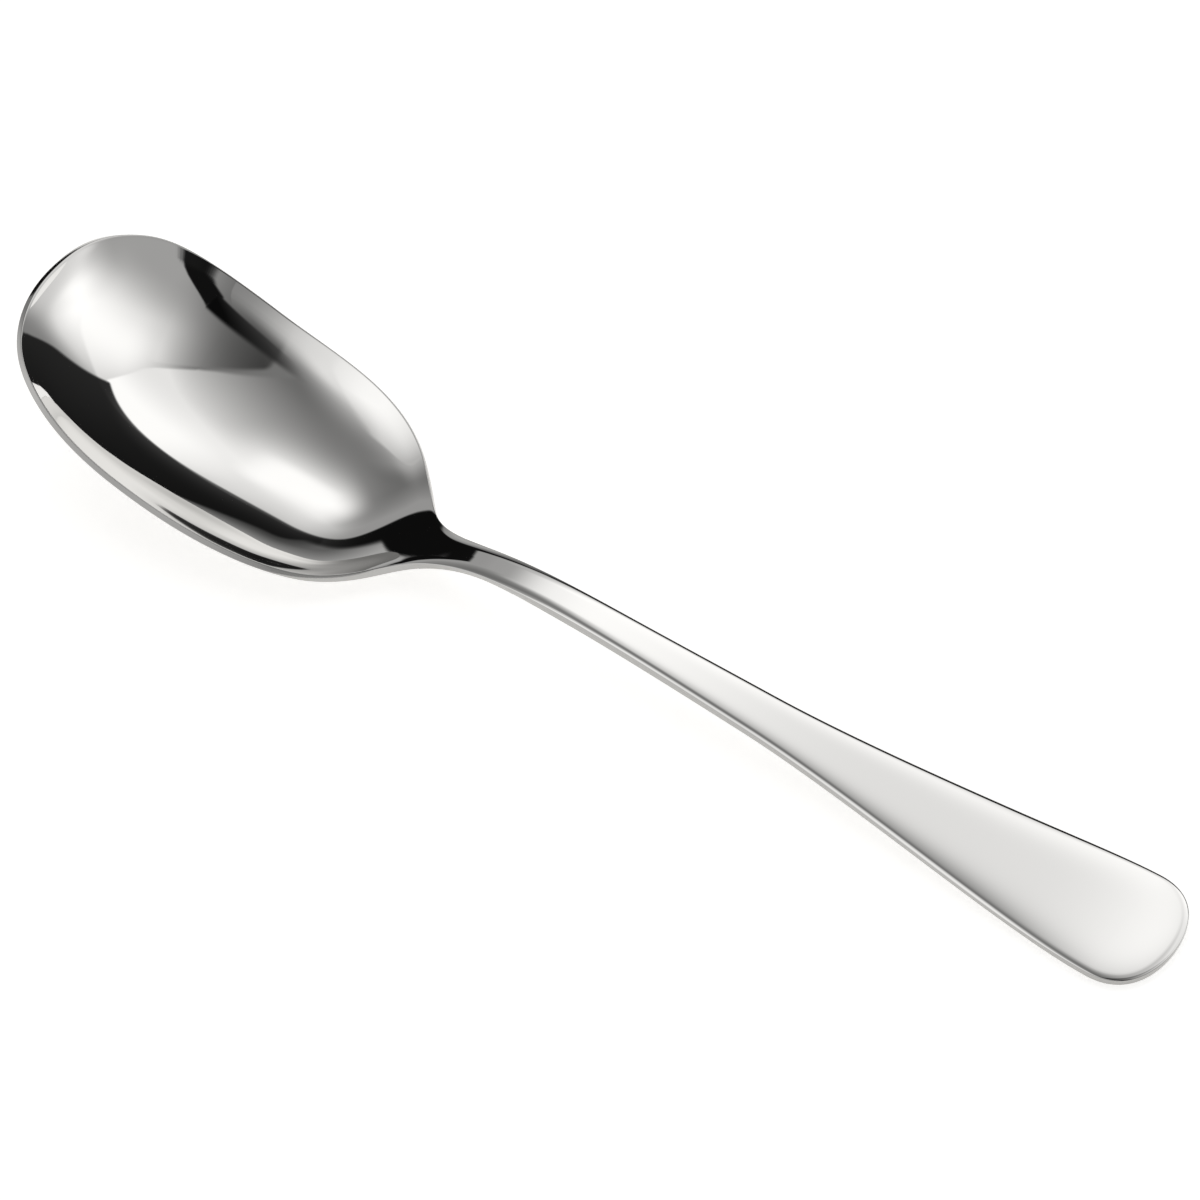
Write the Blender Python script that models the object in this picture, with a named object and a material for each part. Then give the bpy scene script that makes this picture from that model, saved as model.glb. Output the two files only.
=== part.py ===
"""Serving spoon in polished stainless steel, pressed and drawn out of one blank.

The spoon lies as it rests on a table, with the bowl toward -X, the handle toward +X and +Z up.
It is made as such a blank is: a sheet with the spoon's outline is dished and bent, given its
thickness, rounded along its edges, and touched flat where it rests. The dimensions are in
millimetres and run from the tip of the bowl. The mesh is in metres.
"""

import math
from dataclasses import dataclass

import bmesh
import bpy
import numpy as np
from mathutils import Vector

MM = 0.001

# Overall sizes
LENGTH = 240.0
BOWL_WIDTH = 50.9
NECK_WIDTH = 6.3
END_WIDTH = 25.0
TIP_HEIGHT = 32.4

# Cross section of the bowl: height gained at a distance y from the middle is CUP * y * y, a little
# more at the tip and at the heel
TIP_CUP = 0.0154
CUP = 0.0141
HEEL_CUP = 0.0154
TIP_CUP_ENDS = (5.0, 35.0)
HEEL_CUP_STARTS = (45.0, 80.0)
CUP_FADES = (59.5, 99.7)

# Lip of the bowl: it turns up from LIP_STARTS to LIP_STRAIGHT in from the edge and runs on nearly
# straight. The turns are the slopes that it adds at LIP_STRAIGHT and at the edge itself.
LIP_STARTS = 5.9
LIP_STRAIGHT = 2.1
LIP_TURN = 0.096
EDGE_TURN = 0.030
LIP_FORMS = (-3.8, 17.2)

# Thickness of the metal at the middle, and how much thinner the rim of the bowl is
BOWL_WALL = 2.0
NECK_THICKNESS = 2.9
HANDLE_THICKNESS = 2.2
END_THICKNESS = 2.0
RIM_THINNING = 0.8
THINNING_FADES = (100.0, 150.0)

# Soft shoulder along the edges of the neck: how far it drops, and over what width. On the handle
# it widens into a crown over the whole top, which drops toward the edge with CROWN_POWER.
NECK_SHOULDER = (0.45, 2.0)
HANDLE_CROWN = 0.55
CROWN_POWER = 3
SHOULDER_STARTS = (74.0, 92.0)
SHOULDER_WIDENS = (98.0, 135.0)

# Rounding of every edge, and depth of the two lands that the spoon rests on
EDGE_ROUNDING = 0.35
LAND_DEPTH = 0.05

# Fineness of the sheet: stations along each span of the outline, columns from middle to edge
STATIONS = (16, 10, 10, 9, 11, 11)
COLUMNS = 10
EDGE_COLUMN = 0.75
TIP_CENTRE = 24.0
END_CENTRE = 230.0


@dataclass(frozen=True)
class Knot:
    """A point of a smooth curve, the heading there in degrees, and the pull to each side."""

    x: float
    y: float
    heading: float
    before: float
    after: float


# Half of the outline seen from above: tip, widest bowl, shoulder, neck, handle, end corner, end
OUTLINE = (
    Knot(0.0, 0.0, 90.0, 0.0, 19.5),
    Knot(31.7, BOWL_WIDTH / 2, 0.0, 21.7, 13.7),
    Knot(70.0, 17.0, -42.0, 13.0, 13.5),
    Knot(98.0, NECK_WIDTH / 2, 0.0, 19.5, 25.0),
    Knot(154.7, 4.52, 2.3, 19.7, 25.0),
    Knot(229.8, END_WIDTH / 2, 0.0, 16.0, 8.0),
    Knot(LENGTH, 0.0, -90.0, 5.65, 0.0),
)

# Heights of the middle of the top seen from the side, and its slopes at the tip and at the end.
# The floor of the bowl is lowest near 63.5, where it is BOWL_WALL less LAND_DEPTH above the table.
PROFILE = (
    (0.0, TIP_HEIGHT), (7.0, 21.93), (16.0, 14.23), (28.0, 8.32), (42.0, 4.46), (56.0, 2.48),
    (68.0, 2.26), (80.0, 6.11), (92.0, 10.39), (104.0, 12.08), (125.0, 11.33), (150.0, 9.05),
    (180.0, 6.01), (210.0, 3.33), (LENGTH, END_THICKNESS - LAND_DEPTH),
)
PROFILE_SLOPES = (-2.36, 0.0)

# Thickness along the middle: bowl, neck, handle, end
THICKNESS = (
    Knot(0.0, BOWL_WALL, 0.0, 0.0, 20.0),
    Knot(60.0, BOWL_WALL, 0.0, 20.0, 12.0),
    Knot(96.0, NECK_THICKNESS, 0.0, 12.0, 18.0),
    Knot(160.0, HANDLE_THICKNESS, 0.0, 20.0, 25.0),
    Knot(LENGTH, END_THICKNESS, 0.0, 25.0, 0.0),
)


def spans_of(knots):
    """The four control points of the cubic span between each two knots."""
    spans = []
    for first, last in zip(knots, knots[1:]):
        start = Vector((first.x, first.y))
        end = Vector((last.x, last.y))
        leaves = Vector((math.cos(math.radians(first.heading)), math.sin(math.radians(first.heading))))
        arrives = Vector((math.cos(math.radians(last.heading)), math.sin(math.radians(last.heading))))
        spans.append((start, start + leaves * first.after, end - arrives * last.before, end))
    return spans


def point_on(span, t):
    """The point of a cubic span at t, which runs from 0 to 1."""
    s = 1.0 - t
    start, pull, push, end = span
    return start * s**3 + pull * (3 * s * s * t) + push * (3 * s * t * t) + end * t**3


def value_at(spans, x):
    """Height of a curve that always runs toward +X, at one x."""
    span = next((each for each in spans if x <= each[3].x), spans[-1])
    low, high = 0.0, 1.0
    for _ in range(40):
        middle = (low + high) / 2
        if point_on(span, middle).x < x:
            low = middle
        else:
            high = middle
    return point_on(span, (low + high) / 2).y


class Spline:
    """A curve through points, whose slope and curvature run on without a jump."""

    def __init__(self, points, end_slopes):
        self.x, self.y = np.array(points).T
        gap = np.diff(self.x)
        rise = np.diff(self.y) / gap
        rows = np.eye(len(self.x))
        wanted = np.array((end_slopes[0], *[0.0] * (len(gap) - 1), end_slopes[1]))
        for k in range(1, len(gap)):
            rows[k, k - 1:k + 2] = 1 / gap[k - 1], 2 / gap[k - 1] + 2 / gap[k], 1 / gap[k]
            wanted[k] = 3 * (rise[k - 1] / gap[k - 1] + rise[k] / gap[k])
        self.slope = np.linalg.solve(rows, wanted)

    def value_at(self, x):
        """Height of the curve at one x."""
        k = min(max(int(np.searchsorted(self.x, x)) - 1, 0), len(self.x) - 2)
        gap = self.x[k + 1] - self.x[k]
        t = (x - self.x[k]) / gap
        s = 1.0 - t
        middle = self.y[k] * s * s * (1 + 2 * t) + self.y[k + 1] * t * t * (1 + 2 * s)
        return float(middle + gap * s * t * (self.slope[k] * s - self.slope[k + 1] * t))


def ease(x, limits):
    """0 before the limits, 1 after them, and a very smooth step between."""
    t = (x - limits[0]) / (limits[1] - limits[0])
    t = min(max(t, 0.0), 1.0)
    return t * t * t * (t * (6.0 * t - 15.0) + 10.0)


def lip_rise(to_edge):
    """Height that the lip of the bowl adds, to_edge millimetres in from the edge."""
    turning = LIP_STARTS - LIP_STRAIGHT
    t = min(max((LIP_STARTS - to_edge) / turning, 0.0), 1.0)
    turned = LIP_TURN * turning * t**3 * (1.0 - t / 2)
    depth = min(to_edge, LIP_STRAIGHT)
    slope = EDGE_TURN + (LIP_TURN - EDGE_TURN) * (LIP_STRAIGHT + depth) / (2 * LIP_STRAIGHT)
    return turned + slope * (LIP_STRAIGHT - depth)


def cup_rise(x, y, to_edge):
    """Height gained in the bowl at a distance y from the middle and to_edge from the edge."""
    cup = CUP + (TIP_CUP - CUP) * (1.0 - ease(x, TIP_CUP_ENDS))
    cup += (HEEL_CUP - CUP) * ease(x, HEEL_CUP_STARTS)
    lip = ease(x, LIP_FORMS) * lip_rise(to_edge)
    return (cup * y * y + lip) * (1.0 - ease(x, CUP_FADES))


def shoulder_drop(x, to_edge, share):
    """How far the top falls, to_edge millimetres in from the edge, at a share of the half width."""
    near_edge = max(0.0, 1.0 - to_edge / NECK_SHOULDER[1])
    neck = NECK_SHOULDER[0] * near_edge * near_edge
    crown = HANDLE_CROWN * share**CROWN_POWER
    return ease(x, SHOULDER_STARTS) * (neck + (crown - neck) * ease(x, SHOULDER_WIDENS))


def outline_points():
    """Stations round half of the outline, from the tip to the end of the handle."""
    points = [Vector((0.0, 0.0))]
    for span, count in zip(spans_of(OUTLINE), STATIONS):
        points += [point_on(span, step / count) for step in range(1, count + 1)]
    return points


def column_shares(reach):
    """Places of the columns on one line from the middle, 0, to the edge, 1."""
    last = 1.0 - EDGE_COLUMN / reach
    return [last * column / (COLUMNS - 1) for column in range(COLUMNS)] + [1.0]


def half_sheet():
    """The far half of the spoon's top as a sheet, and the thickness wanted at each vertex."""
    profile = Spline(PROFILE, PROFILE_SLOPES)
    thickness = spans_of(THICKNESS)
    sheet = bmesh.new()
    wanted = []
    rows = []
    outline = outline_points()
    for before, edge, after in zip(outline[:1] + outline, outline, outline[1:] + outline[-1:]):
        foot = Vector((min(max(edge.x, TIP_CENTRE), END_CENTRE), 0.0))
        reach = (edge - foot).length
        squareness = abs((after - before).normalized().cross((edge - foot).normalized()))
        row = []
        for share in column_shares(reach):
            if share == 0.0 and rows and rows[-1][0].co.x == sheet_x(foot.x):
                row.append(rows[-1][0])
                continue
            at = foot.lerp(edge, share)
            inward = (1.0 - share) * reach
            drop = shoulder_drop(at.x, inward, share)
            rise = cup_rise(at.x, at.y, inward * squareness)
            height = profile.value_at(at.x) + rise - drop
            row.append(sheet.verts.new((sheet_x(at.x), at.y * MM, height * MM)))
            thinning = RIM_THINNING * (1.0 - ease(at.x, THINNING_FADES)) * share * share
            wanted.append((value_at(thickness, at.x) - thinning - drop) * MM)
        rows.append(row)
    for row, following in zip(rows, rows[1:]):
        for column in range(COLUMNS):
            corners = [row[column], following[column], following[column + 1], row[column + 1]]
            sheet.faces.new(list(dict.fromkeys(corners)))
    return sheet, wanted


def sheet_x(x):
    """Distance from the tip, as the x of a mesh vertex in 32-bit metres."""
    return Vector((x * MM, 0.0, 0.0)).x


def thicken(spoon, wanted):
    """Mirror the half sheet, give it its thickness downward, and round its edges."""
    thickest = max(wanted)
    group = spoon.vertex_groups.new(name="thickness")
    for index, value in enumerate(wanted):
        group.add([index], value / thickest, "REPLACE")
    mirror = spoon.modifiers.new("both halves", "MIRROR")
    mirror.use_axis = (False, True, False)
    mirror.merge_threshold = 0.00001
    solidify = spoon.modifiers.new("thickness", "SOLIDIFY")
    solidify.thickness = thickest
    solidify.offset = -1.0
    solidify.vertex_group = group.name
    solidify.use_quality_normals = True
    rounding = spoon.modifiers.new("rounded edges", "BEVEL")
    rounding.width = EDGE_ROUNDING * MM
    rounding.segments = 2
    rounding.limit_method = "ANGLE"
    rounding.angle_limit = math.radians(55.0)


def flatten_underside(spoon):
    """Take off what is below the table, which leaves a land under the bowl and one under the end."""
    bpy.ops.mesh.primitive_cube_add(size=1.0)
    table = bpy.context.object
    table.name = "table_cut"
    table.scale = (2 * LENGTH * MM, 2 * BOWL_WIDTH * MM, 0.01)
    table.location = (LENGTH * MM / 2, 0.0, -0.005)
    table.hide_render = True
    table.display_type = "WIRE"
    lands = spoon.modifiers.new("lands", "BOOLEAN")
    lands.operation = "DIFFERENCE"
    lands.object = table
    return table


def centre(spoon, table):
    """Move the spoon along X until the middle of its length is at the origin."""
    bpy.context.view_layer.update()
    shape = spoon.evaluated_get(bpy.context.evaluated_depsgraph_get())
    ends = [corner[0] for corner in shape.bound_box]
    shift = -(min(ends) + max(ends)) / 2
    spoon.location.x += shift
    table.location.x += shift


def polished_steel():
    """Bright stainless steel with a mirror polish."""
    steel = bpy.data.materials.new("polished stainless steel")
    steel.use_nodes = True
    shader = steel.node_tree.nodes["Principled BSDF"]
    shader.inputs["Base Color"].default_value = (0.78, 0.78, 0.77, 1.0)
    shader.inputs["Metallic"].default_value = 1.0
    shader.inputs["Roughness"].default_value = 0.08
    return steel


def main():
    for thing in list(bpy.data.objects):
        bpy.data.objects.remove(thing, do_unlink=True)
    sheet, wanted = half_sheet()
    mesh = bpy.data.meshes.new("spoon")
    sheet.verts.index_update()
    sheet.to_mesh(mesh)
    sheet.free()
    mesh.shade_smooth()
    spoon = bpy.data.objects.new("spoon", mesh)
    bpy.context.scene.collection.objects.link(spoon)
    spoon.data.materials.append(polished_steel())
    thicken(spoon, wanted)
    table = flatten_underside(spoon)
    centre(spoon, table)


main()
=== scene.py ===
"""A polished serving spoon lying on a pale table, inside a tent of soft studio light.

The spoon is one pressed blank of stainless steel, so it is one piece. It follows the sizes of the
CAD part, in millimetres from the tip of the bowl, with a slightly wider handle, and is drawn on a
much finer sheet, because a mirror finish shows every facet. The meshes are in metres, in the
CAD's frame: the bowl toward -X, the handle toward +X, +Z up.
"""

import logging
import math
from collections.abc import Iterator
from contextlib import contextmanager
from dataclasses import dataclass
from enum import Enum
from typing import Any

import bpy
import numpy as np
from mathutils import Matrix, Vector

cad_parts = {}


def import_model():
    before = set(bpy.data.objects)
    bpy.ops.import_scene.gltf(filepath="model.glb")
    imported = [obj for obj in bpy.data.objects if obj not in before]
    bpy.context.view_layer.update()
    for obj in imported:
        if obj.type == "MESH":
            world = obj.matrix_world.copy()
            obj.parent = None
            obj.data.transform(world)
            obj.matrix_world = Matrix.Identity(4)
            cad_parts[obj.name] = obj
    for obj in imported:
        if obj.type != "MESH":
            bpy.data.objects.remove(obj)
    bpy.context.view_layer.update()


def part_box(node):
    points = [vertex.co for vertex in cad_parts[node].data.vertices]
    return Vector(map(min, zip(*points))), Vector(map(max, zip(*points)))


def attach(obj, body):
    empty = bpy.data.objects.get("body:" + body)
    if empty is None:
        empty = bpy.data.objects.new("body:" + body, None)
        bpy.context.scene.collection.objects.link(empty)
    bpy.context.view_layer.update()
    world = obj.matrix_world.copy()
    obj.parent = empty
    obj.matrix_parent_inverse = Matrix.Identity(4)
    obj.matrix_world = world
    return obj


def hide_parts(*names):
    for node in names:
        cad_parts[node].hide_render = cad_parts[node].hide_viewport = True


LOG = logging.getLogger("serving_spoon")

MM = 0.001


def linear_colour(hex_code: str) -> tuple[float, float, float, float]:
    """Turn an sRGB hex colour into the linear colour that a shader takes.

    Args:
        hex_code: Six hex digits, with or without a leading #.

    Returns:
        Red, green, blue and an alpha of 1.
    """
    digits = hex_code.lstrip("#")
    shown = np.array([int(digits[place:place + 2], 16) for place in (0, 2, 4)]) / 255.0
    return (*linear_level(shown).tolist(), 1.0)


def linear_level(shown: np.ndarray) -> np.ndarray:
    """Turn shown levels, 0 black to 1 white, into linear light by the sRGB curve."""
    return np.where(shown <= 0.04045, shown / 12.92, ((shown + 0.055) / 1.055) ** 2.4)


def smooth_step(share: np.ndarray) -> np.ndarray:
    """Ease an array: 0 up to 0, 1 from 1 on, and smooth between."""
    held = np.clip(share, 0.0, 1.0)
    return held * held * (3.0 - 2.0 * held)


def add_node(
    tree: bpy.types.NodeTree,
    kind: str,
    inputs: dict[Any, Any] | None = None,
    **settings: Any,
) -> bpy.types.Node:
    """Add one node with its settings, its values and its links.

    Args:
        tree: The node tree that takes the node.
        kind: Blender's name of the node's type.
        inputs: For each input's name or number, a value, or the output socket that feeds it.
        **settings: The node's own properties.

    Returns:
        The new node.
    """
    node = tree.nodes.new(kind)
    for name, value in settings.items():
        setattr(node, name, value)
    for name, value in (inputs or {}).items():
        if isinstance(value, bpy.types.NodeSocket):
            tree.links.new(value, node.inputs[name])
        else:
            node.inputs[name].default_value = value
    return node


def calculate(tree: bpy.types.NodeTree, operation: str, *terms: Any) -> bpy.types.NodeSocket:
    """Add one step of arithmetic.

    Args:
        tree: The node tree that takes the step.
        operation: Blender's name of the step.
        *terms: Values, or the output sockets that feed them.

    Returns:
        The socket with the result.
    """
    return add_node(
        tree, "ShaderNodeMath", dict(enumerate(terms)), operation=operation
    ).outputs[0]


def attribute_of(tree: bpy.types.NodeTree, name: str) -> bpy.types.NodeSocket:
    """Add a node that reads one number that the mesh carries."""
    return add_node(tree, "ShaderNodeAttribute", attribute_name=name).outputs["Fac"]


def empty_tree(owner: bpy.types.Material | bpy.types.World) -> bpy.types.NodeTree:
    """Give a material or a world a node tree with nothing in it."""
    owner.use_nodes = True
    owner.node_tree.nodes.clear()
    return owner.node_tree


def deselect_all() -> None:
    """Leave nothing selected, so that an operator acts on the new piece alone."""
    if bpy.context.object is not None and bpy.context.object.mode != "OBJECT":
        bpy.ops.object.mode_set(mode="OBJECT")
    bpy.ops.object.select_all(action="DESELECT")


@contextmanager
def editing() -> Iterator[None]:
    """Open the new piece for editing, with all of it selected, and close it afterwards."""
    bpy.ops.object.mode_set(mode="EDIT")
    bpy.ops.mesh.select_all(action="SELECT")
    yield
    bpy.ops.object.mode_set(mode="OBJECT")


@dataclass(frozen=True)
class Knot:
    """A point of a smooth curve, the heading there in degrees, and the pull to each side."""

    x: float
    y: float
    heading: float
    before: float
    after: float

    def aim(self) -> np.ndarray:
        """The direction in which the curve passes the knot."""
        turn = math.radians(self.heading)
        return np.array((math.cos(turn), math.sin(turn)))


class Curve:
    """A smooth curve through knots, cubic between each two of them."""

    STEPS = 4000

    def __init__(self, knots: tuple[Knot, ...]) -> None:
        """Work out the four control points of each span.

        Args:
            knots: The curve's knots, from the tip of the bowl to the end of the handle.
        """
        self.spans: list[np.ndarray] = []
        for first, last in zip(knots, knots[1:]):
            start, end = np.array((first.x, first.y)), np.array((last.x, last.y))
            pull, push = start + first.aim() * first.after, end - last.aim() * last.before
            self.spans.append(np.array((start, pull, push, end)))

    def points(self, counts: tuple[int, ...]) -> np.ndarray:
        """Points along the whole curve.

        Args:
            counts: Into how many steps each span is divided.

        Returns:
            The points, one row each.
        """
        rows = [self.spans[0][:1]]
        for span, count in zip(self.spans, counts):
            t = np.arange(1, count + 1)[:, None] / count
            s = 1.0 - t
            rows.append(
                span[0] * s**3 + span[1] * 3 * s * s * t + span[2] * 3 * s * t * t + span[3] * t**3
            )
        return np.concatenate(rows)

    def value_at(self, x: np.ndarray) -> np.ndarray:
        """Heights of a curve that always runs toward +X.

        Args:
            x: Distances from the tip, in millimetres.

        Returns:
            The curve's heights there, in millimetres.
        """
        drawn = self.points((self.STEPS,) * len(self.spans))
        return np.interp(x, drawn[:, 0], drawn[:, 1])


class Spline:
    """A curve through points, whose slope and curvature run on without a jump."""

    def __init__(
        self, points: tuple[tuple[float, float], ...], end_slopes: tuple[float, float]
    ) -> None:
        """Work out the slope at each point.

        Args:
            points: The points, in the order of their x.
            end_slopes: The slopes at the first point and at the last.
        """
        self.x, self.y = np.array(points).T
        gap = np.diff(self.x)
        rise = np.diff(self.y) / gap
        rows = np.eye(len(self.x))
        wanted = np.array((end_slopes[0], *[0.0] * (len(gap) - 1), end_slopes[1]))
        for k in range(1, len(gap)):
            rows[k, k - 1:k + 2] = 1 / gap[k - 1], 2 / gap[k - 1] + 2 / gap[k], 1 / gap[k]
            wanted[k] = 3 * (rise[k - 1] / gap[k - 1] + rise[k] / gap[k])
        self.slope = np.linalg.solve(rows, wanted)

    def value_at(self, x: np.ndarray) -> np.ndarray:
        """Heights of the curve.

        Args:
            x: Distances from the tip, in millimetres.

        Returns:
            The curve's heights there, in millimetres.
        """
        k = np.clip(np.searchsorted(self.x, x) - 1, 0, len(self.x) - 2)
        gap = self.x[k + 1] - self.x[k]
        t = (x - self.x[k]) / gap
        s = 1.0 - t
        middle = self.y[k] * s * s * (1 + 2 * t) + self.y[k + 1] * t * t * (1 + 2 * s)
        return middle + gap * s * t * (self.slope[k] * s - self.slope[k + 1] * t)


@dataclass(frozen=True)
class MirrorPolishedSteel:
    """18/10 stainless steel, buffed to a mirror on a cotton wheel.

    To the eye it is a clear mirror of a faintly warm grey. The buffing leaves very fine lines
    along the spoon and a slow waviness that makes straight reflections swim a little. The narrow
    sides are only ground and tumbled, so they are rougher; their darker grey is painted shade,
    which stands in for the shaded table close by that they mirror.
    """

    colour: str = "#E0DFDD"
    # The sides' darker grey is painted shade for the shaded table close by, which they mirror
    side_colour_with_painted_shade: str = "#B1B0AE"
    mirror_roughness: float = 0.015
    line_roughness: float = 0.03
    side_roughness: float = 0.12

    # The higher, the closer to the sides their roughness and their painted shade keep
    side_sharpness: float = 6.0

    # Buffing lines run along the spoon: long in X, fine across. They are drawn a little coarser
    # than the real ones, which are under a tenth of a millimetre. The band is the part of the
    # noise over which the gloss changes.
    line_spacing_mm: float = 0.35
    line_length_mm: float = 14.0
    line_detail: float = 2.0
    line_band: tuple[float, float] = (0.35, 0.7)

    # The slow waviness of a surface polished by hand
    wave_size_mm: float = 16.0
    wave_depth_mm: float = 0.0012

    # The polish on top of the handle looks a few degrees to the near side: what that adds to the
    # normal, and how far up a face has to look to belong to the top
    lean: float = 0.11
    top_facing: tuple[float, float] = (0.5, 0.75)

    def material(self) -> bpy.types.Material:
        """Build the node material.

        Returns:
            The finished material.
        """
        steel = bpy.data.materials.new("mirror polished stainless steel")
        tree = empty_tree(steel)
        place = add_node(tree, "ShaderNodeTexCoord").outputs["Object"]

        # The edge attribute is 1 on the sides and falls to 0 within a millimetre of them.
        edge = attribute_of(tree, SpoonBlank.EDGE)
        side = calculate(tree, "POWER", edge, self.side_sharpness)
        roughness = add_node(
            tree,
            "ShaderNodeMix",
            {0: side, 2: self.buffing(tree, place), 3: self.side_roughness},
            data_type="FLOAT",
        ).outputs[0]
        # Toward the sides the colour darkens: painted shade for the shaded table that the sides
        # mirror
        colour_with_painted_side_shade = add_node(
            tree,
            "ShaderNodeMix",
            {0: side, 6: linear_colour(self.colour), 7: linear_colour(self.side_colour_with_painted_shade)},
            data_type="RGBA",
        ).outputs[2]
        shader = add_node(
            tree,
            "ShaderNodeBsdfPrincipled",
            {"Base Color": colour_with_painted_side_shade, "Metallic": 1.0, "Roughness": roughness,
             "Normal": self.leaning(tree, self.waviness(tree, place))},
        )
        add_node(tree, "ShaderNodeOutputMaterial", {"Surface": shader.outputs["BSDF"]})
        return steel

    def buffing(
        self, tree: bpy.types.NodeTree, place: bpy.types.NodeSocket
    ) -> bpy.types.NodeSocket:
        """Draw the buffing lines.

        Args:
            tree: The steel's node tree.
            place: Places on the spoon, in metres.

        Returns:
            The roughness of the polished faces.
        """
        along = 1.0 / (self.line_length_mm * MM)
        across = 1.0 / (self.line_spacing_mm * MM)
        stretched = add_node(
            tree, "ShaderNodeMapping", {"Vector": place, "Scale": (along, across, across)}
        ).outputs["Vector"]
        lines = add_node(
            tree,
            "ShaderNodeTexNoise",
            {"Vector": stretched, "Scale": 1.0, "Detail": self.line_detail},
        ).outputs["Fac"]
        return add_node(
            tree,
            "ShaderNodeMapRange",
            {"Value": lines, "From Min": self.line_band[0], "From Max": self.line_band[1],
             "To Min": self.mirror_roughness, "To Max": self.line_roughness},
        ).outputs["Result"]

    def waviness(
        self, tree: bpy.types.NodeTree, place: bpy.types.NodeSocket
    ) -> bpy.types.NodeSocket:
        """Make straight reflections swim a little.

        Args:
            tree: The steel's node tree.
            place: Places on the spoon, in metres.

        Returns:
            The normal of the polished surface.
        """
        waves = add_node(
            tree,
            "ShaderNodeTexNoise",
            {"Vector": place, "Scale": 1.0 / (self.wave_size_mm * MM), "Detail": 0.0},
        ).outputs["Fac"]
        return add_node(
            tree,
            "ShaderNodeBump",
            {"Height": waves, "Strength": 1.0, "Distance": self.wave_depth_mm * MM},
        ).outputs["Normal"]

    def leaning(
        self, tree: bpy.types.NodeTree, normal: bpy.types.NodeSocket
    ) -> bpy.types.NodeSocket:
        """Turn the polish on top of the handle a few degrees toward the near side.

        Args:
            tree: The steel's node tree.
            normal: The normal of the polished surface.

        Returns:
            The normal with the lean.
        """
        facing = add_node(
            tree,
            "ShaderNodeSeparateXYZ",
            {0: add_node(tree, "ShaderNodeNewGeometry").outputs["True Normal"]},
        ).outputs["Z"]
        on_top = add_node(
            tree,
            "ShaderNodeMapRange",
            {"Value": facing, "From Min": self.top_facing[0], "From Max": self.top_facing[1],
             "To Min": 0.0, "To Max": -self.lean},
        ).outputs["Result"]
        amount = calculate(tree, "MULTIPLY", on_top, attribute_of(tree, SpoonBlank.HANDLE))
        sideways = add_node(tree, "ShaderNodeCombineXYZ", {"Y": amount}).outputs[0]
        turned = add_node(
            tree, "ShaderNodeVectorMath", {0: normal, 1: sideways}, operation="ADD"
        ).outputs[0]
        return add_node(
            tree, "ShaderNodeVectorMath", {0: turned}, operation="NORMALIZE"
        ).outputs[0]


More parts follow.
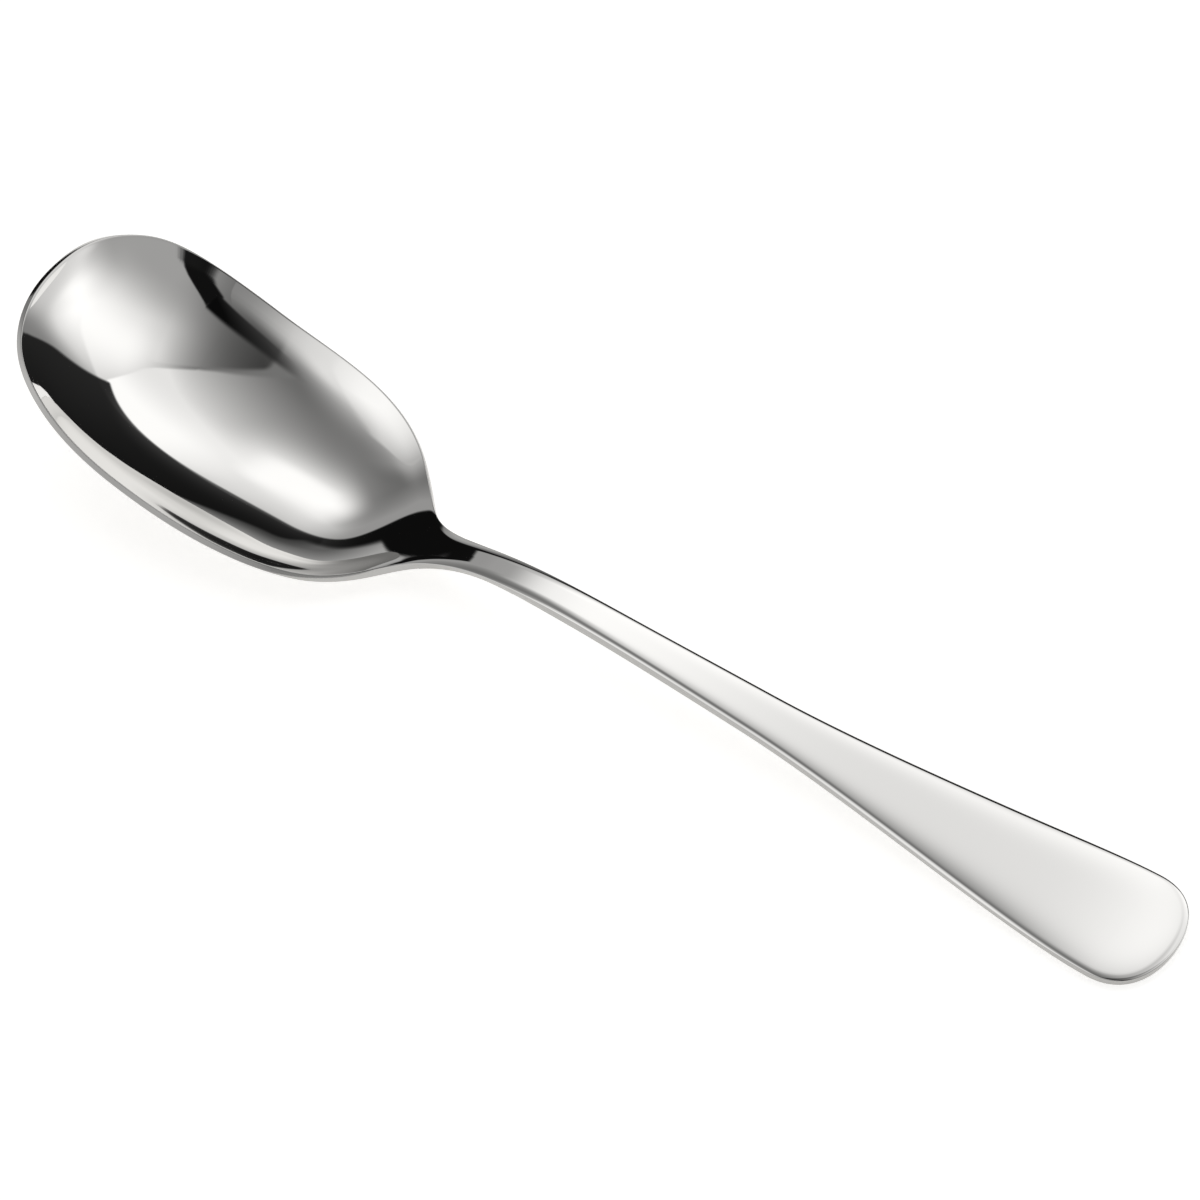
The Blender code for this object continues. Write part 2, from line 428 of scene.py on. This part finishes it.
@dataclass
class SpoonBlank:
    """The spoon: one sheet of steel, dished, bent, thickened and rounded along its edges."""

    # Numbers that the mesh carries: 1 on the sides, 1 on the handle, the thickness as a share of
    # the neck's, and the way from the top to the underside
    EDGE = "edge_share"
    HANDLE = "handle_share"
    THICKNESS = "thickness_share"
    WAY_DOWN = "way_down"

    length: float = 240.0
    bowl_width: float = 50.9
    neck_width: float = 6.9
    end_width: float = 25.5
    tip_height: float = 32.4

    # Height gained in the bowl at a distance y from the middle is cup * y * y, a little more at
    # the tip and at the heel
    tip_cup: float = 0.0154
    cup: float = 0.0141
    heel_cup: float = 0.0154
    tip_cup_ends: tuple[float, float] = (5.0, 35.0)
    heel_cup_starts: tuple[float, float] = (45.0, 80.0)
    cup_fades: tuple[float, float] = (59.5, 99.7)

    # Lip of the bowl: it turns up from lip_starts to lip_straight in from the edge and runs on
    # nearly straight. The turns are the slopes that it adds at lip_straight and at the edge.
    lip_starts: float = 5.9
    lip_straight: float = 2.1
    lip_turn: float = 0.096
    edge_turn: float = 0.030
    lip_forms: tuple[float, float] = (-3.8, 17.2)

    # Thickness of the metal at the middle, and how much thinner the rim of the bowl and the sides
    # of the handle are
    bowl_wall: float = 2.0
    neck_thickness: float = 2.9
    handle_thickness: float = 2.2
    end_thickness: float = 2.0
    rim_thinning: float = 0.8
    side_thinning: float = 0.45
    thinning_fades: tuple[float, float] = (100.0, 150.0)

    # Soft shoulder along the edges of the neck: how far it drops, and over what width. On the
    # handle it widens into a crown over the whole top, whose drop is a share of the half width
    # and which flattens toward the end. The edge itself is rolled over like the shoulder.
    neck_shoulder: tuple[float, float] = (0.45, 2.0)
    handle_crown: float = 0.058
    crown_power: int = 5
    crown_flattens: tuple[float, float] = (196.0, 240.0)
    flattening: float = 0.8
    edge_roll: tuple[float, float] = (0.24, 1.1)
    shoulder_starts: tuple[float, float] = (74.0, 92.0)
    shoulder_widens: tuple[float, float] = (98.0, 135.0)

    # Where the handle begins, with its upright sides and the lean of its polish
    handle_starts: tuple[float, float] = (92.0, 118.0)

    # Rounding of the corners sharper than rounding_angle. Faces that meet at less than
    # smooth_angle look like one. Both angles are in degrees.
    edge_rounding: float = 0.15
    rounding_steps: int = 4
    rounding_angle: float = 55.0
    smooth_angle: float = 40.0

    # How deep the handle's end is ground flat, and how far in from the edge the sides' roughness
    # and painted shade fade
    land_depth: float = 0.05
    edge_width: float = 0.8

    # How close points may lie before they become one, in metres
    fan_weld: float = 0.000001
    mirror_weld: float = 0.00001
    cut_weld: float = 0.0000001

    # Fineness of the sheet: stations along each span of the outline, even columns from the middle
    # outward, and how far in from the edge the last of them and the closer ones by the edge lie.
    # The rows fan out from the two centres, and run straight across between them.
    stations: tuple[int, ...] = (64, 40, 40, 36, 44, 44)
    columns: int = 32
    edge_columns: tuple[float, ...] = (0.85, 0.55, 0.25, 0.0)
    tip_centre: float = 24.0
    end_centre: float = 230.0

    def __post_init__(self) -> None:
        """Draw the three curves that the sheet follows."""
        # Half of the outline from above: tip, widest bowl, shoulder, neck, handle, corner, end
        self.outline = Curve((
            Knot(0.0, 0.0, 90.0, 0.0, 19.5),
            Knot(31.7, self.bowl_width / 2, 0.0, 21.7, 13.7),
            Knot(70.0, 17.0, -42.0, 13.0, 13.5),
            Knot(98.0, self.neck_width / 2, 0.0, 19.5, 25.0),
            Knot(154.7, 4.8, 2.3, 19.7, 25.0),
            Knot(229.8, self.end_width / 2, 0.0, 16.0, 8.0),
            Knot(self.length, 0.0, -90.0, 5.65, 0.0),
        ))
        # Heights of the middle of the top from the side, and its slopes at the tip and the end
        self.profile = Spline(
            (
                (0.0, self.tip_height), (7.0, 21.93), (16.0, 14.23), (28.0, 8.32), (42.0, 4.46),
                (56.0, 2.48), (68.0, 2.26), (80.0, 6.11), (92.0, 10.39), (104.0, 12.08),
                (125.0, 11.33), (150.0, 9.05), (180.0, 6.01), (210.0, 3.33),
                (self.length, self.end_thickness - self.land_depth),
            ),
            (-2.36, 0.0),
        )
        # Thickness along the middle: bowl, neck, handle, end
        self.thickness = Curve((
            Knot(0.0, self.bowl_wall, 0.0, 0.0, 20.0),
            Knot(60.0, self.bowl_wall, 0.0, 20.0, 12.0),
            Knot(96.0, self.neck_thickness, 0.0, 12.0, 18.0),
            Knot(160.0, self.handle_thickness, 0.0, 20.0, 25.0),
            Knot(self.length, self.end_thickness, 0.0, 25.0, 0.0),
        ))

    @staticmethod
    def ease(x: np.ndarray, limits: tuple[float, float]) -> np.ndarray:
        """0 before the limits, 1 after them, and a very smooth step between."""
        t = np.clip((x - limits[0]) / (limits[1] - limits[0]), 0.0, 1.0)
        return t * t * t * (t * (6.0 * t - 15.0) + 10.0)

    def lip_rise(self, to_edge: np.ndarray) -> np.ndarray:
        """Height that the lip of the bowl adds, by the distance in from the edge."""
        turning = self.lip_starts - self.lip_straight
        t = np.clip((self.lip_starts - to_edge) / turning, 0.0, 1.0)
        turned = self.lip_turn * turning * t**3 * (1.0 - t / 2)
        depth = np.minimum(to_edge, self.lip_straight)
        share = (self.lip_straight + depth) / (2 * self.lip_straight)
        slope = self.edge_turn + (self.lip_turn - self.edge_turn) * share
        return turned + slope * (self.lip_straight - depth)

    def cup_rise(self, x: np.ndarray, y: np.ndarray, to_edge: np.ndarray) -> np.ndarray:
        """Height gained in the bowl beside its middle.

        Args:
            x: Distances from the tip.
            y: Distances from the middle.
            to_edge: Distances in from the edge, square to it.

        Returns:
            The heights gained, in millimetres.
        """
        cup = self.cup + (self.tip_cup - self.cup) * (1.0 - self.ease(x, self.tip_cup_ends))
        cup += (self.heel_cup - self.cup) * self.ease(x, self.heel_cup_starts)
        lip = self.ease(x, self.lip_forms) * self.lip_rise(to_edge)
        return (cup * y * y + lip) * (1.0 - self.ease(x, self.cup_fades))

    def shoulder_drop(self, x: np.ndarray, to_edge: np.ndarray, share: np.ndarray) -> np.ndarray:
        """How far the top falls near the edges of the neck and over the crown of the handle.

        Args:
            x: Distances from the tip.
            to_edge: Distances in from the edge.
            share: Shares of the way from the middle to the edge.

        Returns:
            The drops, in millimetres.
        """
        neck = self.neck_shoulder[0] * np.maximum(0.0, 1.0 - to_edge / self.neck_shoulder[1]) ** 2
        half_width = to_edge.max(axis=1, keepdims=True)
        fullness = 1.0 - self.flattening * self.ease(x, self.crown_flattens)
        crown = self.handle_crown * half_width * fullness * share**self.crown_power
        crown += self.edge_roll[0] * np.maximum(0.0, 1.0 - to_edge / self.edge_roll[1]) ** 2
        drop = neck + (crown - neck) * self.ease(x, self.shoulder_widens)
        return drop * self.ease(x, self.shoulder_starts)

    def sheet(self) -> tuple[np.ndarray, np.ndarray, np.ndarray]:
        """Work out the half sheet, row by row of the outline's stations.

        Returns:
            The points of the top in millimetres, the thickness wanted at each, and its
            distance in from the edge.
        """
        edge = self.outline.points(self.stations)
        middle = np.clip(edge[:, 0], self.tip_centre, self.end_centre)
        foot = np.stack((middle, np.zeros_like(middle)), axis=1)
        reach = np.linalg.norm(edge - foot, axis=1)[:, None]
        by_edge = 1.0 - np.array(self.edge_columns) / reach
        even = by_edge[:, :1] * np.arange(self.columns - 1) / (self.columns - 1)
        share = np.concatenate((even, by_edge), axis=1)
        at = foot[:, None] + (edge - foot)[:, None] * share[:, :, None]
        x, y = at[:, :, 0], at[:, :, 1]
        to_edge = (1.0 - share) * reach

        drop = self.shoulder_drop(x, to_edge, share)
        run = np.concatenate((edge[1:], edge[-1:])) - np.concatenate((edge[:1], edge[:-1]))
        run /= np.linalg.norm(run, axis=1)[:, None]
        outward = (edge - foot) / reach
        squareness = np.abs(run[:, 0] * outward[:, 1] - run[:, 1] * outward[:, 0])[:, None]
        rise = self.cup_rise(x, y, to_edge * squareness)
        height = self.profile.value_at(x) + rise - drop
        thinning = self.rim_thinning + (self.side_thinning - self.rim_thinning) * self.ease(
            x, self.thinning_fades
        )
        thickness = self.thickness.value_at(x) - thinning * share * share - drop
        return np.stack((x, y, height), axis=2).reshape(-1, 3), thickness.ravel(), to_edge.ravel()

    def build(self) -> bpy.types.Object:
        """Model the spoon at its place on the table.

        Returns:
            The spoon as one closed mesh object.
        """
        spoon = self._cut_blank()
        self._dish_blank(spoon)
        self._mirror(spoon)
        self._thicken(spoon)
        self._round_edges(spoon)
        self._flatten_underside()
        self._centre(spoon)
        return spoon

    def _cut_blank(self) -> bpy.types.Object:
        """Add the flat half blank: a grid with one row for each station of the outline."""
        deselect_all()
        bpy.ops.mesh.primitive_grid_add(
            x_subdivisions=self.columns + len(self.edge_columns) - 2,
            y_subdivisions=sum(self.stations),
            size=2.0,
        )
        spoon = bpy.context.object
        spoon.name = "serving_spoon"
        spoon.data.name = "serving_spoon"
        return spoon

    def _dish_blank(self, spoon: bpy.types.Object) -> None:
        """Carry the grid's rows to the outline and press the sheet into its dished, bent form.

        Args:
            spoon: The half blank, one vertex for each station and column.
        """
        points, thickness, to_edge = self.sheet()
        spoon.data.vertices.foreach_set("co", (points * MM).ravel())
        carried = {
            self.EDGE: np.maximum(0.0, 1.0 - to_edge / self.edge_width),
            self.HANDLE: self.ease(points[:, 0], self.handle_starts),
            self.THICKNESS: thickness / self.neck_thickness,
        }
        for name, values in carried.items():
            spoon.data.attributes.new(name, "FLOAT", "POINT").data.foreach_set("value", values)
        spoon.data.update()

        # The fans at the tip and at the end meet in one point each.
        with editing():
            bpy.ops.mesh.remove_doubles(threshold=self.fan_weld)
            bpy.ops.mesh.normals_make_consistent(inside=False)
        if sum(face.normal.z for face in spoon.data.polygons) < 0.0:
            spoon.data.flip_normals()

    def _mirror(self, spoon: bpy.types.Object) -> None:
        """Add the other half of the sheet.

        Args:
            spoon: The dished half sheet.
        """
        mirror = spoon.modifiers.new("both halves", "MIRROR")
        mirror.use_axis = (False, True, False)
        mirror.merge_threshold = self.mirror_weld
        bpy.ops.object.modifier_apply(modifier=mirror.name)

    def _thicken(self, spoon: bpy.types.Object) -> None:
        """Give the sheet its thickness: square to it in the bowl, straight down at the handle.

        Args:
            spoon: The dished sheet.
        """
        sheet = spoon.data
        count = len(sheet.vertices)
        normals, handle, thickness = np.zeros(3 * count), np.zeros(count), np.zeros(count)
        sheet.vertices.foreach_get("normal", normals)
        sheet.attributes[self.HANDLE].data.foreach_get("value", handle)
        sheet.attributes[self.THICKNESS].data.foreach_get("value", thickness)
        down = normals.reshape(-1, 3) * (1.0 - handle[:, None])
        down[:, 2] += handle
        down /= -np.linalg.norm(down, axis=1)[:, None]
        down *= (thickness * self.neck_thickness * MM)[:, None]
        way = sheet.attributes.new(self.WAY_DOWN, "FLOAT_VECTOR", "POINT")
        way.data.foreach_set("vector", down.ravel())

        # The extruded layer stays selected and carries the same numbers as the top.
        with editing():
            bpy.ops.mesh.extrude_region()
        for vertex in sheet.vertices:
            if vertex.select:
                vertex.co += sheet.attributes[self.WAY_DOWN].data[vertex.index].vector
        for name in (self.WAY_DOWN, self.THICKNESS):
            sheet.attributes.remove(sheet.attributes[name])
        with editing():
            bpy.ops.mesh.normals_make_consistent(inside=False)

    def _round_edges(self, spoon: bpy.types.Object) -> None:
        """Round the edges between the top, the sides and the underside.

        Args:
            spoon: The thickened spoon.
        """
        rounding = spoon.modifiers.new("rounded edges", "BEVEL")
        rounding.width = self.edge_rounding * MM
        rounding.segments = self.rounding_steps
        rounding.limit_method = "ANGLE"
        rounding.angle_limit = math.radians(self.rounding_angle)
        bpy.ops.object.modifier_apply(modifier=rounding.name)

    def _flatten_underside(self) -> None:
        """Take off what is below the table, which leaves the two lands that the spoon rests on."""
        with editing():
            bpy.ops.mesh.bisect(
                plane_co=(0.0, 0.0, 0.0), plane_no=(0.0, 0.0, 1.0), use_fill=True,
                clear_inner=True, threshold=self.cut_weld,
            )

    def _centre(self, spoon: bpy.types.Object) -> None:
        """Bring the spoon to the place of its CAD node, and smooth its faces.

        Args:
            spoon: The finished shape, with its tip at x = 0.
        """
        low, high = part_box("spoon")
        ends = [vertex.co.x for vertex in spoon.data.vertices]
        shift = (low.x + high.x) / 2 - (min(ends) + max(ends)) / 2
        with editing():
            bpy.ops.transform.translate(value=(shift, 0.0, 0.0))
        bpy.ops.object.shade_smooth_by_angle(angle=math.radians(self.smooth_angle))

    def dress(self, spoon: bpy.types.Object, finish: MirrorPolishedSteel) -> None:
        """Give the spoon its finish, and put it in the place of the CAD node.

        Args:
            spoon: The finished shape.
            finish: The polish that it gets.
        """
        spoon.data.materials.clear()
        spoon.data.materials.append(finish.material())
        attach(spoon, "root")
        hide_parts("spoon")


class Chart(Enum):
    """The flat map of directions that a card of the tent is cut out on."""

    CEILING = "x and y where a direction meets a ceiling one unit up"
    PANORAMA = "azimuth and elevation, in degrees"


@dataclass(frozen=True)
class Card:
    """A lit or dark panel of the tent, as the spoon sees it.

    The greys are the levels that the panel shows in the polished steel: 0 is black, 255 white,
    and a lamp may be brighter than white. A card of two greys fades evenly from one place of its
    chart to another. Each side of the card, from one corner to the next, has its own softness.
    """

    name: str
    chart: Chart
    corners: tuple[tuple[float, float], ...]
    softness: tuple[float, ...]
    greys: tuple[float, ...]
    fades: tuple[tuple[float, float], tuple[float, float]] = ((0.0, 0.0), (1.0, 0.0))

    def cover(self, places: np.ndarray) -> np.ndarray:
        """How far the card covers each place of its chart.

        Args:
            places: Chart places, one row each.

        Returns:
            0 outside the card, 1 inside it, and between in its soft edges.
        """
        corners = np.array(self.corners)
        following = np.roll(corners, -1, axis=0)
        turn = corners[:, 0] * following[:, 1] - following[:, 0] * corners[:, 1]
        side = 1.0 if turn.sum() > 0.0 else -1.0
        cover = np.ones(len(places))
        for start, end, width in zip(corners, following, self.softness):
            run = (end - start) / np.linalg.norm(end - start)
            inward = run[0] * (places[:, 1] - start[1]) - run[1] * (places[:, 0] - start[0])
            cover *= smooth_step(side * inward / width + 0.5)
        return cover

    def level(self, places: np.ndarray) -> np.ndarray:
        """The grey of the card at each place of its chart."""
        start, end = np.array(self.fades[0]), np.array(self.fades[1])
        run = end - start
        share = np.clip((places - start) @ run / (run @ run), 0.0, 1.0)
        return self.greys[0] + (self.greys[-1] - self.greys[0]) * share


@dataclass
class LightTent:
    """Diffusing panels and dark flags all round the table, which only reflections see."""

    GLOW = "glow"

    # The dome in metres, its fineness, and the elevation of its lower edge in degrees
    radius: float = 4.0
    centre: tuple[float, float, float] = (-0.07, 0.0, 0.01)
    segments: int = 720
    rings: int = 230
    skirt: float = -25.0

    # The grey between the cards, the share of the light that the steel gives back, the azimuth at
    # which the panorama is cut open, and the flattest direction that the ceiling chart holds
    plain_grey: float = 112.0
    mirror_share: float = 0.74
    seam_azimuth: float = -60.0
    flattest_rise: float = 0.08

    # Later cards hang in front of earlier ones.
    cards: tuple[Card, ...] = (
        Card("left wall", Chart.CEILING,
             ((-0.38, 3.0), (-0.06, -2.99), (-9.0, -3.0), (-9.0, 3.0)),
             (0.14, 0.3, 0.3, 0.31),
             (109.0, 146.0), ((-0.84, 0.1), (-1.18, 0.65))),
        Card("right ground", Chart.PANORAMA,
             ((-75.0, -12.0), (82.8, -12.1), (82.1, 81.9), (-72.8, 38.5)),
             (8.0, 9.1, 21.3, 8.0),
             (156.0,)),
        Card("right panel", Chart.PANORAMA,
             ((37.6, 0.1), (62.1, 9.0), (59.3, 19.5), (82.6, 48.9), (11.0, 60.3),
              (11.3, 28.1)),
             (37.2, 61.7, 13.6, 34.7, 108.0, 23.8),
             (287.0,)),
        Card("low right panel", Chart.PANORAMA,
             ((28.0, -13.0), (36.6, -13.1), (40.3, 13.4), (19.0, 22.7)),
             (3.0, 32.7, 21.6, 23.0),
             (276.0,)),
        Card("glow of the table", Chart.PANORAMA,
             ((-8.0, -12.0), (46.0, -12.0), (45.0, 0.9), (-4.0, 1.9)),
             (3.0, 13.0, 9.0, 14.0),
             (219.0,)),
        Card("overhead panel", Chart.CEILING,
             ((0.87, 1.41), (0.82, 2.61), (-0.9, 2.61), (-1.05, 1.23), (-0.8, 0.48),
              (-0.93, -0.09), (-0.01, -0.36), (0.14, -0.32), (0.56, 0.44), (0.64, 0.54),
              (0.76, 0.98)),
             (0.03, 0.03, 0.04, 1.14, 1.02, 0.25, 0.12, 0.03, 0.03, 0.03, 0.03),
             (80.0, 227.0), ((-0.27, -0.37), (0.22, 0.46))),
        Card("bright end of the overhead panel", Chart.CEILING,
             ((0.87, 1.41), (0.82, 2.61), (-0.1, 2.61), (-0.1, 0.64), (0.72, 0.86), (0.76, 0.98)),
             (0.03, 0.03, 0.4, 0.7, 0.03, 0.03),
             (253.0,)),
        Card("gap", Chart.CEILING,
             ((0.01, -0.47), (0.05, -0.18), (0.26, 0.04), (0.4, 0.24), (0.52, 0.39),
              (0.57, 0.41), (0.71, 0.1), (0.61, -0.47)),
             (0.03, 0.03, 0.03, 0.03, 0.2, 0.58, 0.71, 1.13),
             (42.0, 231.0), ((-0.01, -0.1), (0.69, 0.16))),
        Card("strip light", Chart.CEILING,
             ((-0.58, 0.48), (-0.2, 0.18), (-0.08, 0.54), (-0.34, 0.91)),
             (0.41, 0.39, 0.29, 0.45),
             (257.0,)),
        Card("core of the strip light", Chart.CEILING,
             ((-0.3, 0.36), (-0.18, 0.36), (-0.18, 0.8), (-0.3, 0.8)),
             (0.16, 0.14, 0.3, 0.12),
             (254.0,)),
        Card("near panel", Chart.PANORAMA,
             ((177.9, -11.8), (296.4, -12.3), (311.1, 72.6), (240.1, 69.5), (220.5, 76.8),
              (184.5, 31.7)),
             (6.0, 129.4, 21.3, 16.6, 91.6, 22.7),
             (227.0, 210.0), ((251.7, 53.0), (270.1, 47.5))),
        Card("near panel lip", Chart.CEILING,
             ((-0.28, -0.4), (-0.3, -0.27), (-0.48, -0.27), (-0.9, -0.22), (-1.1, -0.7),
              (-0.49, -0.88), (-0.26, -0.7)),
             (0.04, 0.04, 0.05, 0.31, 0.33, 0.86, 0.24),
             (177.0, 264.0), ((-0.49, -0.22), (-0.35, -0.64))),
        Card("dark far wall", Chart.PANORAMA,
             ((57.2, -11.4), (113.9, -12.1), (118.9, 31.2), (111.6, 31.3), (106.6, 32.7),
              (69.4, 32.1), (59.7, 32.1)),
             (1.8, 1.8, 1.8, 32.9, 1.8, 1.8, 1.8),
             (41.0,)),
        Card("dark left wall", Chart.PANORAMA,
             ((72.3, -12.1), (167.9, -12.0), (164.3, 23.3), (151.9, 31.2), (139.9, 37.3),
              (115.8, 35.0), (104.9, 33.4), (94.4, 34.3)),
             (1.8, 1.8, 1.8, 1.8, 1.8, 1.8, 1.8, 107.8),
             (12.0,)),
        Card("pale patch", Chart.PANORAMA,
             ((98.7, 6.0), (139.1, -1.2), (143.4, 19.3), (113.3, 26.6), (108.9, 19.3)),
             (1.8, 1.1, 4.8, 1.5, 11.9),
             (91.0, 159.0), ((128.0, 23.6), (131.6, 11.3))),
        Card("flag over the lens", Chart.CEILING,
             ((0.54, -0.37), (0.64, -0.42), (1.22, -0.7), (1.25, -0.77), (0.65, -0.74),
              (0.46, -0.65)),
             (0.04, 0.04, 0.05, 0.05, 0.04, 0.04),
             (16.0,)),
        Card("flag arm", Chart.CEILING,
             ((-0.07, -0.31), (0.52, -0.36), (0.54, -0.36), (0.51, -0.64), (0.03, -0.5)),
             (0.06, 0.05, 0.02, 0.05, 0.16),
             (10.0, 50.0), ((0.31, -0.37), (0.15, -0.54))),
        Card("dark stand", Chart.CEILING,
             ((0.71, -0.76), (1.16, -0.61), (2.4, -0.95), (2.4, -1.9), (0.9, -1.2)),
             (0.04, 0.05, 0.05, 0.05, 0.05),
             (25.0,)),
    )

    def chart_places(self, chart: Chart, directions: np.ndarray) -> np.ndarray:
        """Find directions on a chart.

        Args:
            chart: The flat map to use.
            directions: Unit vectors, one row each.

        Returns:
            Two chart coordinates a row.
        """
        x, y, z = directions.T
        if chart is Chart.CEILING:
            height = np.maximum(z, self.flattest_rise)
            return np.stack((x / height, y / height), axis=1)
        azimuth = np.degrees(np.arctan2(y, x))
        azimuth = (azimuth - self.seam_azimuth) % 360.0 + self.seam_azimuth
        return np.stack((azimuth, np.degrees(np.arcsin(np.clip(z, -1.0, 1.0)))), axis=1)

    def glow(self, directions: np.ndarray) -> np.ndarray:
        """Light that comes from each direction.

        Args:
            directions: Unit vectors from the spoon, one row each.

        Returns:
            Linear light, such that the steel shows the greys of the cards.
        """
        grey = np.full(len(directions), self.plain_grey)
        above = directions[:, 2] > 0.0
        for card in self.cards:
            places = self.chart_places(card.chart, directions)
            cover = card.cover(places)
            if card.chart is Chart.CEILING:
                cover = cover * above
            grey += (card.level(places) - grey) * cover
        return linear_level(grey / 255.0) / self.mirror_share

    def build(self) -> bpy.types.Object:
        """Raise the tent.

        Returns:
            A dome that cameras and diffuse light don't see.
        """
        deselect_all()
        bpy.ops.mesh.primitive_grid_add(
            x_subdivisions=self.segments, y_subdivisions=self.rings, size=2.0, location=self.centre
        )
        tent = bpy.context.object
        tent.name = "light_tent"

        # The flat cloth is wrapped round the table: its width goes once round, its top closes up.
        flat = np.empty(len(tent.data.vertices) * 3, dtype=np.float32)
        tent.data.vertices.foreach_get("co", flat)
        across, up, _ = flat.reshape(-1, 3).T.astype(float)
        azimuth = np.radians(self.seam_azimuth + 180.0 * (across + 1.0))
        elevation = np.radians(self.skirt + (90.0 - self.skirt) * (up + 1.0) / 2.0)
        directions = np.stack(
            (np.cos(azimuth) * np.cos(elevation), np.sin(azimuth) * np.cos(elevation),
             np.sin(elevation)),
            axis=1,
        )
        tent.data.vertices.foreach_set("co", (directions * self.radius).ravel().astype(np.float32))
        glow = tent.data.attributes.new(self.GLOW, "FLOAT", "POINT")
        glow.data.foreach_set("value", self.glow(directions).astype(np.float32))
        tent.data.materials.append(self.material())
        tent.visible_camera = False
        tent.visible_diffuse = False
        tent.visible_transmission = False
        tent.visible_volume_scatter = False
        tent.visible_shadow = False
        return tent

    def material(self) -> bpy.types.Material:
        """Lit cloth that gives off what its glow attribute says."""
        cloth = bpy.data.materials.new("lit diffusion cloth")
        tree = empty_tree(cloth)
        glow = attribute_of(tree, self.GLOW)
        light = add_node(tree, "ShaderNodeEmission", {"Strength": glow}).outputs["Emission"]
        add_node(tree, "ShaderNodeOutputMaterial", {"Surface": light})
        cloth.cycles.emission_sampling = "NONE"
        return cloth


@dataclass
class PaleTable:
    """The plain pale table top and the soft light on it."""

    colour: str = "#F4F3F1"

    # Lengths in metres. The table ends a little beyond the handle, where the tip of the bowl would
    # otherwise mirror it too brightly, and lies a hair below the spoon.
    size: float = 12.0
    right_end: float = 0.15
    drop: float = 0.00005

    # The lift of the table to a clear white, the light of the room, and the lamp
    own_light: float = 0.50
    ambient: float = 0.45
    key_power: float = 10.0
    key_size: float = 2.4
    key_place: tuple[float, float, float] = (-0.25, 0.55, 1.5)

    def build(self) -> bpy.types.Object:
        """Lay the table top.

        Returns:
            The stage floor.
        """
        deselect_all()
        middle = self.right_end - self.size / 2
        bpy.ops.mesh.primitive_plane_add(size=self.size, location=(middle, 0.0, -self.drop))
        floor = bpy.context.object
        floor.name = "table_top"
        floor.data.materials.append(self.material())
        return floor

    def material(self) -> bpy.types.Material:
        """Matt white lacquer, lifted to a clear white for the camera and for reflections."""
        lacquer = bpy.data.materials.new("matt white lacquer")
        tree = empty_tree(lacquer)
        matt = add_node(
            tree, "ShaderNodeBsdfDiffuse", {"Color": linear_colour(self.colour)}
        ).outputs["BSDF"]
        strength = calculate(tree, "MULTIPLY", self.seen_directly(tree), self.own_light)
        lift = add_node(tree, "ShaderNodeEmission", {"Strength": strength}).outputs["Emission"]
        both = add_node(tree, "ShaderNodeAddShader", {0: matt, 1: lift}).outputs["Shader"]
        add_node(tree, "ShaderNodeOutputMaterial", {"Surface": both})
        lacquer.cycles.emission_sampling = "NONE"
        return lacquer

    @staticmethod
    def seen_directly(tree: bpy.types.NodeTree) -> bpy.types.NodeSocket:
        """1 for what the camera, a mirror or a view through glass sees, and 0 for other light."""
        path = add_node(tree, "ShaderNodeLightPath").outputs
        either = calculate(tree, "MAXIMUM", path["Is Camera Ray"], path["Is Glossy Ray"])
        return calculate(tree, "MAXIMUM", either, path["Is Transmission Ray"])

    def light(self) -> None:
        """Fill the room with even light, and hang one broad soft lamp over the table."""
        world = bpy.context.scene.world or bpy.data.worlds.new("studio")
        bpy.context.scene.world = world
        tree = empty_tree(world)
        strength = add_node(
            tree,
            "ShaderNodeMapRange",
            {"Value": self.seen_directly(tree), "To Min": self.ambient, "To Max": 1.0},
        ).outputs["Result"]
        sky = add_node(
            tree, "ShaderNodeBackground", {"Color": (1.0, 1.0, 1.0, 1.0), "Strength": strength}
        ).outputs["Background"]
        add_node(tree, "ShaderNodeOutputWorld", {"Surface": sky})

        deselect_all()
        bpy.ops.object.light_add(type="AREA", location=self.key_place)
        lamp = bpy.context.object
        lamp.name = "soft_lamp"
        lamp.data.energy = self.key_power
        lamp.data.size = self.key_size
        lamp.rotation_euler = (-Vector(self.key_place)).to_track_quat("-Z", "Y").to_euler()
        lamp.visible_glossy = False


@dataclass(frozen=True)
class Viewpoint:
    """The camera, at the place from which the spoon was seen."""

    azimuth: float = 34.047
    elevation: float = 49.041
    distance: float = 0.920
    target: tuple[float, float, float] = (0.00130, 0.0, 0.016444)
    lens: float = 154.95
    sensor: float = 36.0
    nearest: float = 0.01
    farthest: float = 100.0

    def build(self) -> bpy.types.Object:
        """Set the camera up and make it the scene's own.

        Returns:
            The camera object.
        """
        around, up = math.radians(self.azimuth), math.radians(self.elevation)
        back = Vector((
            math.sin(around) * math.cos(up), -math.cos(around) * math.cos(up), math.sin(up)
        ))
        deselect_all()
        bpy.ops.object.camera_add(location=Vector(self.target) + back * self.distance)
        camera = bpy.context.object
        camera.name = "view"
        camera.rotation_euler = (-back).to_track_quat("-Z", "Y").to_euler()
        camera.data.lens = self.lens
        camera.data.sensor_width = self.sensor
        camera.data.clip_start = self.nearest
        camera.data.clip_end = self.farthest
        bpy.context.scene.camera = camera
        return camera


def main() -> None:
    """Build the spoon, its table, its light and the camera."""
    logging.basicConfig(level=logging.INFO, format="%(message)s")
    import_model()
    bpy.context.scene.view_settings.view_transform = "Standard"

    Viewpoint().build()
    blank = SpoonBlank()
    spoon = blank.build()
    blank.dress(spoon, MirrorPolishedSteel())
    LOG.info("%s: %d faces", spoon.name, len(spoon.data.polygons))

    table = PaleTable()
    LOG.info("%s laid", table.build().name)
    table.light()
    LOG.info("%s raised", LightTent().build().name)


if __name__ == "__main__":
    main()
